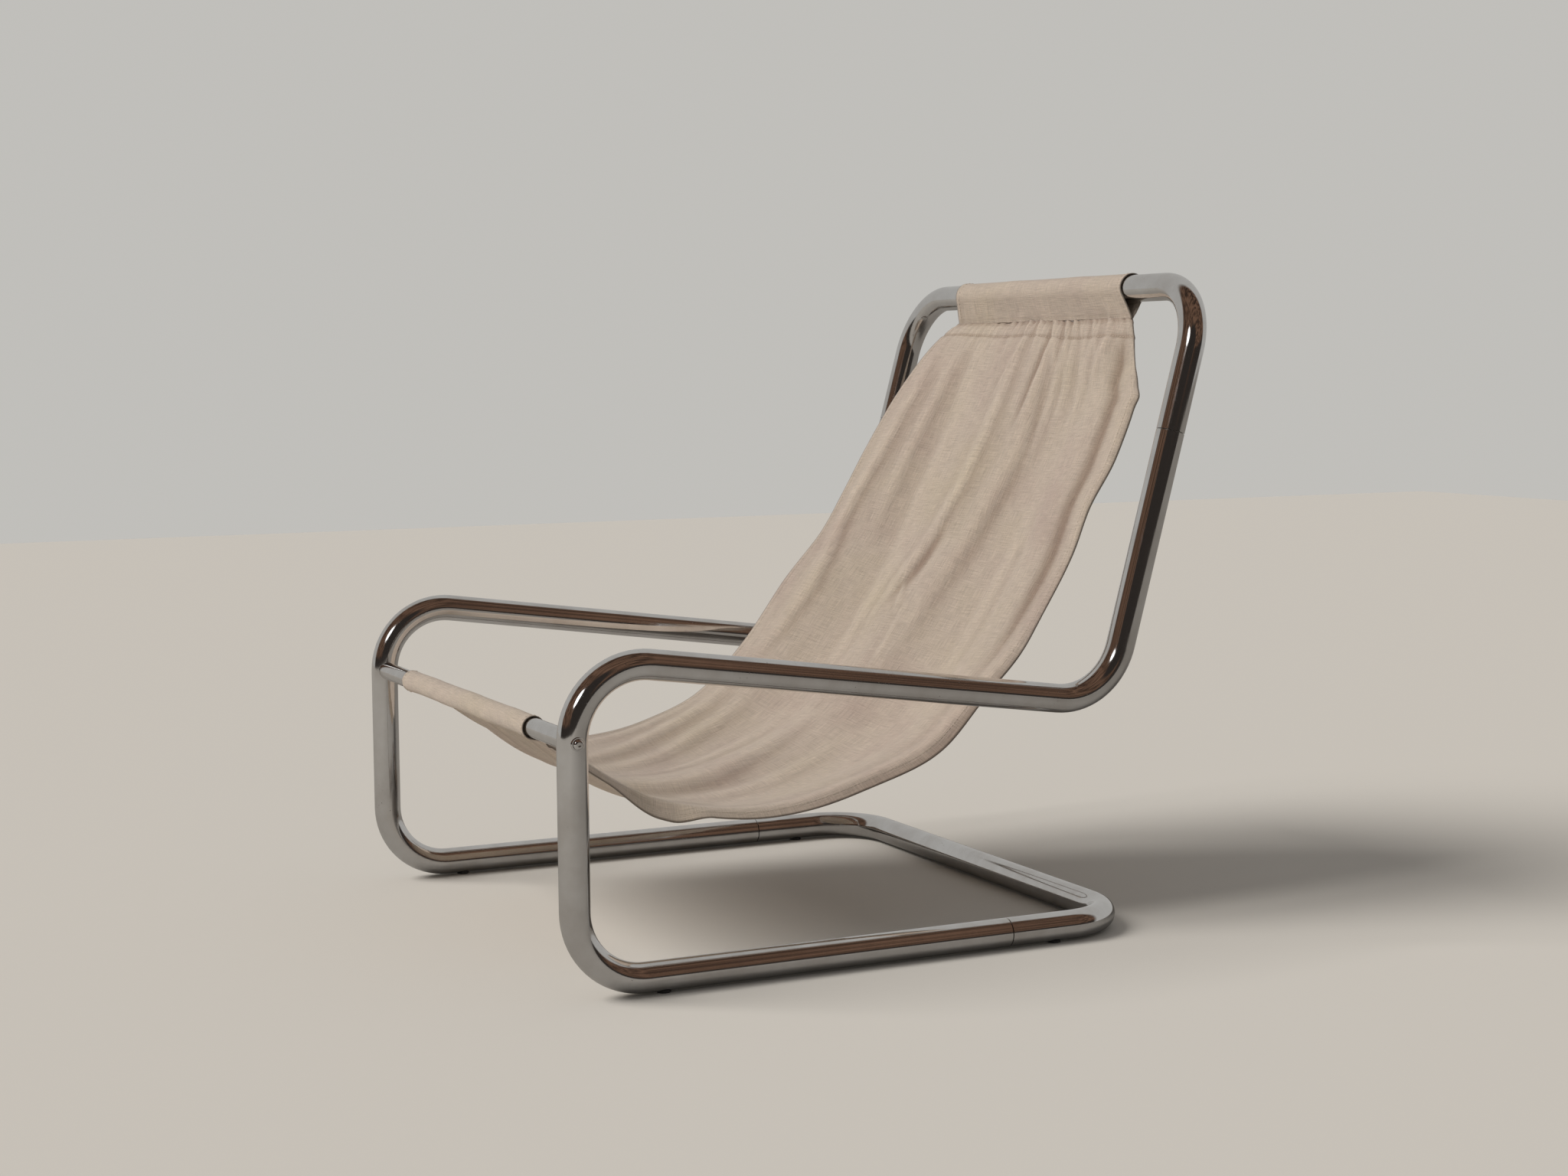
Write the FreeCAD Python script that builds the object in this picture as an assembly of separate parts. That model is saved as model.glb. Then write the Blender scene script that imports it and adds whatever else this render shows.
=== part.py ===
"""Cantilever lounge chair: a bent steel tube frame that carries a loose canvas sling.

Units are millimetres. X runs to the sitter's left, the chair faces -Y and +Z is up.
The origin is the middle of the footprint, on the floor.
"""
import FreeCAD, Part
import math
import os
from FreeCAD import Vector

# Frame tube
tube_d = 38.1
tube_wall = 2.0
bend_r = 90.0

# Side outline, as runs between the corner points of the tube's centre line
frame_width = 822.0
base_run = 791.0
upright_run = 398.5
arm_run = 765.0
arm_drop_deg = 7.85
back_run = 573.0
back_lean_deg = 15.3

# Butt joints, as distances from the rear corner and from the top corner
base_leg = 188.0
top_leg = 202.0

# Tube that slides inside each butt joint
spigot_length = 110.0
spigot_wall = 2.5
slip_fit = 0.1

# Front rail between the two uprights
rail_d = 25.4
rail_wall = 2.0
rail_above_base = 297.0
seat_gap = 0.15

# Screw at each end of the front rail, with its plug and cup washer
screw_d = 8.0
screw_grip = 24.0
screw_play = 0.3
head_d = 13.0
head_height = 4.6
head_band = 1.8
crown_d = 9.0
socket_flats = 5.0
socket_depth = 2.8
washer_d = 17.0
washer_rim = 2.2
cup_depth = 1.2
plug_length = 34.0
plug_setback = 1.0

# Glide buttons under the base
glide_d = 18.0
glide_height = 2.0
stem_d = 8.0
stem_length = 12.0
front_glide_from_corner = 115.0
rear_glide_from_corner = 115.0

# Canvas
canvas = 1.6
cloth_gap = 0.3
sling_shift = -10.0
top_sleeve_width = 460.0
top_sleeve_drop = 42.0
top_sleeve_lean_deg = 10.0
front_sleeve_width = 510.0
front_sleeve_drop = 30.0
front_sleeve_lean_deg = 50.0
left_hang = 318.0
right_hang = 254.0
belly = 20.0

# The sling's stations from the top seam to the front seam. Each gives, for the left edge and
# then the right edge, the share of the way from the front seam to the top seam and the share
# of that edge's full hang. Then come the half width, the belly's share, the rise of a fold
# over its own width, and the sideways shift.
hang_stations = [
    (1.000, 0.000, 1.000, 0.000, 235, 0.00, 0.020, 1.0),
    (0.965, 0.113, 0.948, 0.047, 265, 0.20, 0.050, 0.7),
    (0.924, 0.245, 0.869, 0.189, 291, 0.40, 0.080, 0.1),
    (0.852, 0.415, 0.783, 0.358, 294, 0.60, 0.095, 0.0),
    (0.783, 0.541, 0.714, 0.508, 294, 0.70, 0.100, 0.0),
    (0.723, 0.664, 0.649, 0.638, 294, 0.80, 0.100, 0.0),
    (0.647, 0.805, 0.561, 0.744, 292, 0.90, 0.100, 0.0),
    (0.557, 0.909, 0.455, 0.909, 290, 1.00, 0.100, 0.0),
    (0.435, 1.000, 0.353, 1.000, 288, 1.00, 0.090, 0.0),
    (0.317, 0.943, 0.264, 0.949, 285, 1.00, 0.075, 0.0),
    (0.197, 0.802, 0.187, 0.839, 280, 0.90, 0.060, 0.1),
    (0.109, 0.594, 0.102, 0.634, 272, 0.70, 0.050, 0.3),
    (0.053, 0.368, 0.045, 0.382, 263, 0.35, 0.040, 0.6),
    (0.000, 0.000, 0.000, 0.000, 253, 0.00, 0.015, 0.8),
]
# Shares of the width at which a fold turns into the next hollow, from the right edge
fold_turns = [0.0, 0.21, 0.38, 0.58, 0.80, 1.0]
# Panels of cloth between one station and the next
panels_between = 2

# Places that follow from the sizes above
tube_r = tube_d / 2
rail_r = rail_d / 2
side_x = frame_width / 2 - tube_r
base_z = glide_height + tube_r
arm_drop = math.radians(arm_drop_deg)
back_lean = math.radians(back_lean_deg)
wrap = cloth_gap + canvas
reach = arm_run * math.cos(arm_drop) + back_run * math.sin(back_lean)
front_y = -(reach + wrap) / 2
arm_front = Vector(0, front_y, base_z + upright_run)
arm_rear = arm_front + Vector(0, arm_run * math.cos(arm_drop), -arm_run * math.sin(arm_drop))
top_corner = arm_rear + Vector(0, back_run * math.sin(back_lean), back_run * math.cos(back_lean))
base_front = Vector(0, front_y, base_z)
base_rear = Vector(0, front_y + base_run, base_z)
base_joint = base_rear - Vector(0, base_leg, 0)
back_direction = (top_corner - arm_rear).normalize()
back_joint = top_corner - back_direction * top_leg
rail_centre = Vector(0, front_y, base_z + rail_above_base)


def beside(point, side):
    """Moves a point of the side outline to the frame's left (+1) or right (-1) side."""
    return Vector(side * side_x, point.y, point.z)


def bent_path(points, radius):
    """Straight runs joined by tangent arcs of one radius."""
    edges = []
    start = points[0]
    for before, corner, after in zip(points, points[1:], points[2:]):
        inward = (before - corner).normalize()
        outward = (after - corner).normalize()
        half_angle = inward.getAngle(outward) / 2
        setback = radius / math.tan(half_angle)
        middle = (inward + outward).normalize() * (radius / math.sin(half_angle) - radius)
        bend_start = corner + inward * setback
        bend_end = corner + outward * setback
        edges.append(Part.LineSegment(start, bend_start).toShape())
        edges.append(Part.Arc(bend_start, corner + middle, bend_end).toShape())
        start = bend_end
    edges.append(Part.LineSegment(start, points[-1]).toShape())
    return Part.Wire(edges)


def bar_along(path, radius):
    """Sweeps a disc along a bent path."""
    first = path.Edges[0]
    heading = first.tangentAt(first.FirstParameter)
    ring = Part.Wire(Part.makeCircle(radius, first.valueAt(first.FirstParameter), heading))
    return path.makePipeShell([ring], True, False)


def bent_tube(points, diameter, wall):
    """A hollow tube bent through the points."""
    path = bent_path(points, bend_r)
    return bar_along(path, diameter / 2).cut(bar_along(path, diameter / 2 - wall))


def rod(start, end, radius):
    """A solid cylinder from one point to another."""
    along = end - start
    return Part.makeCylinder(radius, along.Length, start, along)


def pipe(start, end, diameter, wall):
    """A straight hollow tube from one point to another."""
    return rod(start, end, diameter / 2).cut(rod(start, end, diameter / 2 - wall))


def glide_places(side):
    """Centres of the two glides under one side, on the floor."""
    front = Vector(side * side_x, front_y + front_glide_from_corner, 0)
    rear = Vector(side * side_x, base_rear.y - rear_glide_from_corner, 0)
    return {"front": front, "rear": rear}


def make_side_tube(side):
    """Base rail, upright, arm and lower back post, bent from one length of tube."""
    outline = [base_joint, base_front, arm_front, arm_rear, back_joint]
    tube = bent_tube([beside(point, side) for point in outline], tube_d, tube_wall)
    screw_axis = beside(rail_centre, side)
    across = Vector(tube_d, 0, 0)
    tube = tube.cut(rod(screw_axis - across, screw_axis + across, screw_d / 2 + screw_play))
    return tube.cut(stem_hole(glide_places(side)["front"]))


def stem_hole(place):
    """The hole in the underside of the base tube that takes a glide's stem."""
    return rod(place, place + Vector(0, 0, base_z), stem_d / 2 + slip_fit)


def make_base_rear_tube():
    """The rear of the base: a shallow U that joins the two side tubes."""
    corners = [
        beside(base_joint, 1),
        beside(base_rear, 1),
        beside(base_rear, -1),
        beside(base_joint, -1),
    ]
    tube = bent_tube(corners, tube_d, tube_wall)
    for side in (1, -1):
        tube = tube.cut(stem_hole(glide_places(side)["rear"]))
    return tube


def make_top_tube():
    """The top of the back: a U that carries the sling's upper sleeve."""
    corners = [
        beside(back_joint, 1),
        beside(top_corner, 1),
        beside(top_corner, -1),
        beside(back_joint, -1),
    ]
    return bent_tube(corners, tube_d, tube_wall)


def make_spigot(joint, direction, side):
    """The sleeve hidden in a butt joint, a slip fit in both tubes."""
    half = direction * (spigot_length / 2)
    centre = beside(joint, side)
    spigot_d = tube_d - 2 * tube_wall - 2 * slip_fit
    return pipe(centre - half, centre + half, spigot_d, spigot_wall)


def upright_core(side, clearance):
    """The space that an upright and a clearance round it take up."""
    foot = beside(base_front, side)
    return rod(foot, foot + Vector(0, 0, upright_run), tube_r + clearance)


def make_front_rail():
    """The thinner rail that carries the front sleeve, coped to fit both uprights."""
    rail = pipe(beside(rail_centre, -1), beside(rail_centre, 1), rail_d, rail_wall)
    for side in (1, -1):
        rail = rail.cut(upright_core(side, seat_gap))
    return rail


def make_rail_plug(side):
    """The tapped plug inside one end of the front rail."""
    outer = beside(rail_centre, side) - Vector(side * (tube_r + plug_setback), 0, 0)
    inner = outer - Vector(side * plug_length, 0, 0)
    plug = rod(inner, outer, rail_r - rail_wall - slip_fit)
    plug = plug.cut(rod(inner, outer, screw_d / 2 + slip_fit))
    return plug.cut(upright_core(side, seat_gap))


def make_rail_screw(side):
    """A low headed screw that passes through the upright into the plug."""
    outward = Vector(side, 0, 0)
    seat = beside(rail_centre, side) + outward * (tube_r + washer_rim - cup_depth + seat_gap)
    shank = rod(seat - outward * (tube_d + washer_rim + screw_grip), seat, screw_d / 2)
    crown = Part.makeCone(head_d / 2, crown_d / 2, head_height - head_band, Vector(), outward)
    crown.translate(seat + outward * head_band)
    head = rod(seat, seat + outward * head_band, head_d / 2).fuse(crown)
    return shank.fuse(head).removeSplitter().cut(hex_socket(seat + outward * head_height, outward))


def hex_socket(mouth, outward):
    """The six-sided space that a key fits, from its mouth inwards."""
    socket_r = socket_flats / math.sqrt(3)
    corners = []
    for step in range(7):
        turn = math.radians(60 * step)
        corners.append(mouth + Vector(0, socket_r * math.cos(turn), socket_r * math.sin(turn)))
    return Part.Face(Part.makePolygon(corners)).extrude(outward * -socket_depth)


def make_cup_washer(side):
    """A washer saddled on the upright, with a cup that takes the screw's head."""
    outward = Vector(side, 0, 0)
    face = beside(rail_centre, side) + outward * (tube_r + washer_rim)
    washer = rod(beside(rail_centre, side), face, washer_d / 2)
    washer = washer.cut(rod(beside(rail_centre, side), face, screw_d / 2 + screw_play))
    washer = washer.cut(rod(face - outward * cup_depth, face, head_d / 2 + screw_play))
    return washer.cut(upright_core(side, seat_gap))


def make_glide(place):
    """A button glide: a flat foot saddled to the tube, with a stem in its hole."""
    foot = rod(place, place + Vector(0, 0, base_z), glide_d / 2)
    tube_line = place + Vector(0, 0, base_z)
    half = Vector(0, glide_d, 0)
    foot = foot.cut(rod(tube_line - half, tube_line + half, tube_r + seat_gap))
    foot = lowest_solid(foot)
    return foot.fuse(rod(place, place + Vector(0, 0, stem_length), stem_d / 2)).removeSplitter()


def lowest_solid(shape):
    """The solid of a shape that lies lowest."""
    return min(shape.Solids, key=lambda solid: solid.BoundBox.ZMin)


def loop_outline(centre, radius, tip):
    """A teardrop round a bar: an arc whose tangents meet at the tip. The radius grows by
    the offset, so that the outer and the inner outline stay parallel."""
    to_tip = tip - centre
    axis = Vector(to_tip).normalize()
    across = Vector(0, -axis.z, axis.y)
    half_angle = math.acos(radius / to_tip.Length)
    ends = []
    for sign in (1, -1):
        ends.append(centre + (axis * math.cos(half_angle) + across * sign * math.sin(half_angle)) * radius)
    far_point = centre - axis * radius
    quarter = []
    for sign in (1, -1):
        turn = (math.pi + half_angle) / 2
        quarter.append(centre + (axis * math.cos(turn) + across * sign * math.sin(turn)) * radius)
    return Part.Wire([
        Part.LineSegment(tip, ends[0]).toShape(),
        Part.Arc(ends[0], quarter[0], far_point).toShape(),
        Part.Arc(far_point, quarter[1], ends[1]).toShape(),
        Part.LineSegment(ends[1], tip).toShape(),
    ])


def loop_tip(centre, drop, lean_deg):
    """The seam below a bar: its distance from the bar's centre line, and how far its
    direction leans from straight down."""
    lean = math.radians(lean_deg)
    return centre + Vector(0, drop * math.sin(lean), -drop * math.cos(lean))


def make_sleeve(centre, bar_r, drop, lean_deg, width):
    """A canvas sleeve looped round a bar and sewn to a point below it."""
    outer_r = bar_r + cloth_gap + canvas
    inner_r = bar_r + cloth_gap
    outer_tip = loop_tip(centre, drop, lean_deg)
    inner_tip = loop_tip(centre, drop * inner_r / outer_r, lean_deg)
    outer = Part.Face(loop_outline(centre, outer_r, outer_tip))
    inner = Part.Face(loop_outline(centre, inner_r, inner_tip))
    sleeve = outer.cut(inner).extrude(Vector(width, 0, 0))
    sleeve.translate(Vector(sling_shift - width / 2, 0, 0))
    return sleeve


def sling_ends():
    """The seams that the panel hangs from, just clear of the two sleeves."""
    top = loop_tip(top_corner, top_sleeve_drop + cloth_gap, -top_sleeve_lean_deg)
    front = loop_tip(rail_centre, front_sleeve_drop + cloth_gap, front_sleeve_lean_deg)
    return top, front


def edge_point(along, hang, depth, x):
    """A point of one edge of the sling, from its place on the chord and its hang."""
    top, front = sling_ends()
    chord = top - front
    down = Vector(0, chord.z, -chord.y).normalize()
    point = front + chord * along + down * (hang * depth)
    return Vector(x, point.y, point.z)


def station_edges(station):
    """The left and right edge points of one station."""
    left_along, left_share, right_along, right_share, half_width = station[:5]
    shift = sling_shift * station[7]
    left = edge_point(left_along, left_share, left_hang, shift + half_width)
    right = edge_point(right_along, right_share, right_hang, shift - half_width)
    return left, right


def eased_stations():
    """The stations with more between them, on a smooth curve through the given ones."""
    rows = [hang_stations[0]] + hang_stations + [hang_stations[-1]]
    eased = []
    for before, start, end, after in zip(rows, rows[1:], rows[2:], rows[3:]):
        for step in range(panels_between):
            eased.append(between_rows(before, start, end, after, step / panels_between))
    return eased + [hang_stations[-1]]


def between_rows(before, start, end, after, share):
    """One row at a share of the way from start to end, eased by the rows on both sides."""
    row = []
    for a, b, c, d in zip(before, start, end, after):
        slope = (c - a) / 2
        slope_after = (d - b) / 2
        bend = 3 * (c - b) - 2 * slope - slope_after
        twist = 2 * (b - c) + slope + slope_after
        row.append(b + slope * share + bend * share ** 2 + twist * share ** 3)
    return row


def inner_side(stations, index):
    """The direction square to the cloth at a station, towards the sitter."""
    last = len(stations) - 1
    ahead = station_edges(stations[min(index + 1, last)])
    behind = station_edges(stations[max(index - 1, 0)])
    run = (ahead[0] + ahead[1] - behind[0] - behind[1]).normalize()
    return Vector(0, run.z, -run.y)


def folded_strip(stations, index):
    """The outline of the cloth across one station, as arcs that rise and fall by turns."""
    station = stations[index]
    left, right = station_edges(station)
    inward = inner_side(stations, index)
    belly_depth = belly * station[5]
    fold_rise = station[6]
    upper = []
    lower = []
    for number, (start, end) in enumerate(zip(fold_turns, fold_turns[1:])):
        rise = fold_rise * (end - start) * (left - right).Length
        if number % 2 == 1:
            rise = -rise
        spots = []
        for share, lift in ((start, 0), ((start + end) / 2, rise), (end, 0)):
            sag = -belly_depth * 4 * share * (1 - share)
            spots.append(right + (left - right) * share + inward * (sag + lift))
        half = inward * (canvas / 2)
        upper.append(Part.Arc(*[spot + half for spot in spots]).toShape())
        lower.append(Part.Arc(*[spot - half for spot in reversed(spots)]).toShape())
    edges = list(upper)
    edges.append(Part.LineSegment(left + inward * (canvas / 2), left - inward * (canvas / 2)).toShape())
    edges.extend(reversed(lower))
    edges.append(Part.LineSegment(right - inward * (canvas / 2), right + inward * (canvas / 2)).toShape())
    return Part.Wire(edges)


def make_sling_panel():
    """The hanging cloth, lofted through its folded stations from seam to seam."""
    stations = eased_stations()
    strips = [folded_strip(stations, index) for index in range(len(stations))]
    return Part.makeLoft(strips, True, True)


def build():
    """All the pieces, by name."""
    along_base = Vector(0, 1, 0)
    pieces = {
        "base_rear_tube": make_base_rear_tube(),
        "top_tube": make_top_tube(),
        "front_rail": make_front_rail(),
        "top_sleeve": make_sleeve(
            top_corner, tube_r, top_sleeve_drop, -top_sleeve_lean_deg, top_sleeve_width
        ),
        "front_sleeve": make_sleeve(
            rail_centre, rail_r, front_sleeve_drop, front_sleeve_lean_deg, front_sleeve_width
        ),
        "sling_panel": make_sling_panel(),
    }
    for name, side in (("left", 1), ("right", -1)):
        pieces["side_tube_" + name] = make_side_tube(side)
        pieces["base_spigot_" + name] = make_spigot(base_joint, along_base, side)
        pieces["back_spigot_" + name] = make_spigot(back_joint, back_direction, side)
        pieces["rail_plug_" + name] = make_rail_plug(side)
        pieces["cup_washer_" + name] = make_cup_washer(side)
        pieces["rail_screw_" + name] = make_rail_screw(side)
        for end, place in glide_places(side).items():
            pieces[end + "_glide_" + name] = make_glide(place)
    return pieces


def main():
    os.makedirs("parts", exist_ok=True)
    for name, shape in build().items():
        print(name, "solids", len(shape.Solids), "valid", shape.isValid(), "volume", round(shape.Volume))
        shape.exportStep(os.path.join("parts", name + ".step"))


main()
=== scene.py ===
import math

import bpy
import numpy as np
from mathutils import Matrix, Vector


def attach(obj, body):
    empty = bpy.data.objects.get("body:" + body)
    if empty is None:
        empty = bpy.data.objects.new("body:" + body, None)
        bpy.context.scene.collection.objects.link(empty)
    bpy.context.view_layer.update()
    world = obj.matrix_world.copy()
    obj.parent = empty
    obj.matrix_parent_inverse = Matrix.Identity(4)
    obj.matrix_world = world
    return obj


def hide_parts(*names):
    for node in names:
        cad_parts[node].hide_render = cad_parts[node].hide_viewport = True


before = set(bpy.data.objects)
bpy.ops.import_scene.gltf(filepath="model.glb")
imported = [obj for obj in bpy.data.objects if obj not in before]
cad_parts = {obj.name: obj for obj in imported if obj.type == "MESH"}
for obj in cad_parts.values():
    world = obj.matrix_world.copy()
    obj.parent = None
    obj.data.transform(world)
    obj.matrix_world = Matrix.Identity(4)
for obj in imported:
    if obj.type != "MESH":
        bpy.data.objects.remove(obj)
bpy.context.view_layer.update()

# Metres. X to the sitter's left, the chair faces -Y, Z up, origin in the middle of the footprint.
outline = {
    "tubeD": 0.0381,
    "bend": 0.090,
    "width": 0.822,
    "baseRun": 0.791,
    "uprightRun": 0.3985,
    "armRun": 0.765,
    "armDrop": math.radians(7.85),
    "backRun": 0.573,
    "backLean": math.radians(15.3),
    "baseLeg": 0.188,
    "topLeg": 0.202,
    "railD": 0.0254,
    "railRise": 0.297,
    "glideHeight": 0.002,
    "sheetWrap": 0.0019,
}
tubeR = outline["tubeD"] / 2
railR = outline["railD"] / 2
sideX = outline["width"] / 2 - tubeR
baseZ = outline["glideHeight"] + tubeR
armDrop = outline["armDrop"]
backLean = outline["backLean"]
armVector = Vector((0, math.cos(armDrop), -math.sin(armDrop))) * outline["armRun"]
backVector = Vector((0, math.sin(backLean), math.cos(backLean))) * outline["backRun"]
frontY = -(armVector.y + backVector.y + outline["sheetWrap"]) / 2
baseFront = Vector((0, frontY, baseZ))
baseRear = baseFront + Vector((0, outline["baseRun"], 0))
armFront = baseFront + Vector((0, 0, outline["uprightRun"]))
armRear = armFront + armVector
topCorner = armRear + backVector
baseJoint = baseRear - Vector((0, outline["baseLeg"], 0))
backJoint = topCorner - backVector.normalized() * outline["topLeg"]
railCentre = baseFront + Vector((0, 0, outline["railRise"]))


def beside(point, side):
    return Vector((side * sideX, point.y, point.z))


def setMode(name):
    bpy.ops.object.mode_set(mode=name)


def newObject(name, data):
    piece = bpy.data.objects.new(name, data)
    bpy.context.collection.objects.link(piece)
    return piece


def selectOnly(piece):
    bpy.ops.object.select_all(action="DESELECT")
    piece.select_set(True)
    bpy.context.view_layer.objects.active = piece


def startRing(name, centre, heading, radius, count):
    bpy.ops.object.select_all(action="DESELECT")
    turn = heading.to_track_quat("Z", "Y").to_euler()
    bpy.ops.mesh.primitive_circle_add(vertices=count, radius=radius, location=centre, rotation=turn)
    piece = bpy.context.object
    piece.name = name
    piece.data.name = name
    bpy.ops.object.transform_apply(location=True, rotation=True, scale=True)
    setMode("EDIT")
    bpy.ops.mesh.select_all(action="SELECT")
    return piece


def extrudeRing(move, grow=1.0, centre=None):
    bpy.ops.mesh.extrude_region_move(TRANSFORM_OT_translate={"value": move})
    if centre is not None:
        bpy.ops.transform.resize(value=(grow, grow, grow), center_override=centre)


def closeUp(piece, smoothAngle=35):
    setMode("EDIT")
    bpy.ops.mesh.select_all(action="SELECT")
    bpy.ops.mesh.remove_doubles(threshold=1e-6)
    bpy.ops.mesh.fill_holes(sides=0)
    bpy.ops.mesh.select_all(action="SELECT")
    bpy.ops.mesh.normals_make_consistent(inside=False)
    setMode("OBJECT")
    selectOnly(piece)
    bpy.ops.object.shade_smooth_by_angle(angle=math.radians(smoothAngle))


def mirrorCopy(piece, name):
    selectOnly(piece)
    bpy.ops.object.duplicate()
    twin = bpy.context.object
    twin.name = name
    twin.data.name = name
    setMode("EDIT")
    bpy.ops.mesh.select_all(action="SELECT")
    bpy.ops.transform.resize(value=(-1, 1, 1), center_override=(0, 0, 0))
    bpy.ops.mesh.normals_make_consistent(inside=False)
    setMode("OBJECT")
    return twin


# Frame tubes
tubeMake = {"count": 72, "bendSteps": 18, "lip": 0.0030, "lipRun": 0.0008}  # the lips meet as a dark line


def bentTube(name, corners):
    heading = (corners[1] - corners[0]).normalized()
    start = corners[0]
    lip = tubeR - tubeMake["lip"]
    piece = startRing(name, start, heading, lip, tubeMake["count"])
    shoulder = start + heading * tubeMake["lipRun"]
    extrudeRing(heading * tubeMake["lipRun"], tubeR / lip, shoulder)
    here = shoulder
    for before, corner, after in zip(corners, corners[1:], corners[2:]):
        inward = (before - corner).normalized()
        outward = (after - corner).normalized()
        halfAngle = inward.angle(outward) / 2
        setback = outline["bend"] / math.tan(halfAngle)
        bendStart = corner + inward * setback
        bendEnd = corner + outward * setback
        centre = corner + (inward + outward).normalized() * (outline["bend"] / math.sin(halfAngle))
        extrudeRing(bendStart - here)
        bpy.ops.mesh.spin(
            steps=tubeMake["bendSteps"],
            angle=math.pi - 2 * halfAngle,
            center=centre,
            axis=(bendStart - centre).cross(bendEnd - centre).normalized() * -1,
        )
        here = bendEnd
    heading = (corners[-1] - corners[-2]).normalized()
    shoulder = corners[-1] - heading * tubeMake["lipRun"]
    extrudeRing(shoulder - here)
    extrudeRing(heading * tubeMake["lipRun"], lip / tubeR, corners[-1])
    closeUp(piece)
    return piece


sideCorners = [baseJoint, baseFront, armFront, armRear, backJoint]
sideTubeLeft = bentTube("side_tube_left_chrome", [beside(point, 1) for point in sideCorners])
sideTubeRight = mirrorCopy(sideTubeLeft, "side_tube_right_chrome")
baseRearTube = bentTube(
    "base_rear_tube_chrome",
    [beside(baseJoint, 1), beside(baseRear, 1), beside(baseRear, -1), beside(baseJoint, -1)],
)
topTube = bentTube(
    "top_tube_chrome",
    [beside(backJoint, 1), beside(topCorner, 1), beside(topCorner, -1), beside(backJoint, -1)],
)
for piece in (sideTubeLeft, sideTubeRight, baseRearTube, topTube):
    print("tube", piece.name, [round(size, 4) for size in piece.dimensions])


# Front rail, coped to the two uprights
railMake = {"count": 56, "gap": 0.00015}


def onTube(offset):
    # How far out a piece shaped to the tube meets it, at an offset from the tube's middle
    return math.sqrt((tubeR + railMake["gap"]) ** 2 - offset ** 2)


railStart = beside(railCentre, -1)
frontRail = startRing("front_rail_chrome", railStart, Vector((1, 0, 0)), railR, railMake["count"])
extrudeRing((2 * sideX, 0, 0))
setMode("OBJECT")
for vert in frontRail.data.vertices:
    side = 1 if vert.co.x > 0 else -1
    vert.co.x = side * (sideX - onTube(vert.co.y - frontY))
closeUp(frontRail)

# Cup washer and domed socket screw on the outside of each upright
screwMake = {
    "washer": [(0.0085, 0.0000), (0.0085, 0.0016), (0.0081, 0.0022), (0.0070, 0.0022), (0.0068, 0.0020),
               (0.0068, 0.0010), (0.0043, 0.0010)],
    "head": [(0.0061, 0.0011), (0.0065, 0.0016), (0.0065, 0.0029), (0.0062, 0.0038), (0.0056, 0.0046),
             (0.0048, 0.0052), (0.0040, 0.0056), (0.0034, 0.0057)],
    "socketFlats": 0.005,
    "socketDepth": 0.0028,
    "count": 48,
}


def lathe(name, seat, heading, make, rings):
    # Grows one ring at a time from its seat; each ring is (radius, height)
    piece = startRing(name, seat + heading * rings[0][1], heading, rings[0][0], make["count"])
    for before, ring in zip(rings, rings[1:]):
        extrudeRing(heading * (ring[1] - before[1]), ring[0] / before[0], seat + heading * ring[1])
    return piece


outwards = Vector((1, 0, 0))
screwSeat = beside(railCentre, 1) + outwards * tubeR
cupWasherLeft = lathe("cup_washer_left_chrome", screwSeat, outwards, screwMake, screwMake["washer"])
setMode("OBJECT")
for vert in cupWasherLeft.data.vertices:
    if abs(vert.co.x - sideX - tubeR) < 1e-5:
        vert.co.x = sideX + onTube(vert.co.y - frontY)
closeUp(cupWasherLeft, 30)

screwLeft = lathe("rail_screw_left_chrome", screwSeat, outwards, screwMake, screwMake["head"])
extrudeRing((0, 0, 0))
socketX = sideX + tubeR + screwMake["head"][-1][1]
setMode("OBJECT")
for vert in screwLeft.data.vertices:
    if vert.select:
        turn = math.atan2(vert.co.z - railCentre.z, vert.co.y - frontY)
        part = (turn + math.pi / 6) % (math.pi / 3) - math.pi / 6
        reach = screwMake["socketFlats"] / 2 / math.cos(part)
        vert.co = (socketX, frontY + reach * math.cos(turn), railCentre.z + reach * math.sin(turn))
setMode("EDIT")
extrudeRing((-screwMake["socketDepth"], 0, 0))
closeUp(screwLeft, 30)
cupWasherRight = mirrorCopy(cupWasherLeft, "cup_washer_right_chrome")
screwRight = mirrorCopy(screwLeft, "rail_screw_right_chrome")
print("fixings", tuple(screwLeft.dimensions))

# Glide buttons under the base
glideMake = {
    "rings": [(0.0040, 0.0000), (0.0083, 0.0000), (0.0090, 0.0007), (0.0090, 0.0020)],
    "fromCorner": 0.115,
    "count": 40,
}


def makeGlide(name, y):
    rings = glideMake["rings"]
    piece = lathe(name, Vector((sideX, y, 0)), Vector((0, 0, 1)), glideMake, rings)
    setMode("OBJECT")
    for vert in piece.data.vertices:
        if vert.co.z > (rings[-1][1] + rings[-2][1]) / 2:
            vert.co.z = baseZ - onTube(vert.co.x - sideX)
    closeUp(piece, 30)
    return piece


frontGlideLeft = makeGlide("front_glide_left_nylon", frontY + glideMake["fromCorner"])
rearGlideLeft = makeGlide("rear_glide_left_nylon", baseRear.y - glideMake["fromCorner"])
frontGlideRight = mirrorCopy(frontGlideLeft, "front_glide_right_nylon")
rearGlideRight = mirrorCopy(rearGlideLeft, "rear_glide_right_nylon")
print("glides", tuple(frontGlideLeft.dimensions))

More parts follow.
